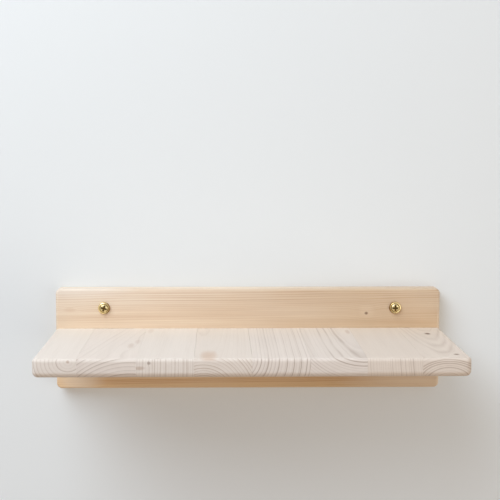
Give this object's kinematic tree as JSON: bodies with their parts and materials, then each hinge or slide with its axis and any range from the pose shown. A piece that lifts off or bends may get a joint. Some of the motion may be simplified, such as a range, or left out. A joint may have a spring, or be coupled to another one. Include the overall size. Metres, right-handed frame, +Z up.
{
  "type": "wall-mounted cat shelf",
  "caption": "Wall-mounted cat step: pale edge-glued wooden shelf with rounded edges on a warm wooden back board, held by brass-coloured screws in cup washers.",
  "frame": {"origin": "centre of the back board's rear face, on the wall", "axes": "+X along the wall to the right as seen from the room, +Y into the wall, +Z up; the shelf stands out towards -Y"},
  "size_m": [0.6, 0.3293, 0.157],
  "materials": {
    "shelf_wood": "pale whitewashed spruce, end grain at the front edge, fine sanded, matt",
    "board_wood": "warm natural pine, straight grain along the board, sanded, satin",
    "dowel_wood": "beech, fluted",
    "brass": "polished brass, lightly dulled",
    "zinc_steel": "zinc-plated steel",
    "nylon": "grey nylon"
  },
  "bodies": {
    "root": {"back_board": "board_wood", "shelf_stave_1": "shelf_wood", "shelf_stave_2": "shelf_wood", "shelf_stave_3": "shelf_wood", "shelf_stave_4": "shelf_wood", "shelf_stave_5": "shelf_wood", "shelf_stave_6": "shelf_wood", "shelf_stave_7": "shelf_wood", "shelf_stave_8": "shelf_wood", "wall_screw_left": "brass", "wall_screw_right": "brass", "cup_washer_left": "brass", "cup_washer_right": "brass", "wall_plug_left": "nylon", "wall_plug_right": "nylon", "shelf_screw_1": "zinc_steel", "shelf_screw_2": "zinc_steel", "shelf_screw_3": "zinc_steel", "shelf_screw_4": "zinc_steel", "dowel_1": "dowel_wood", "dowel_2": "dowel_wood", "dowel_3": "dowel_wood", "dowel_4": "dowel_wood"}
  },
  "joints": []
}
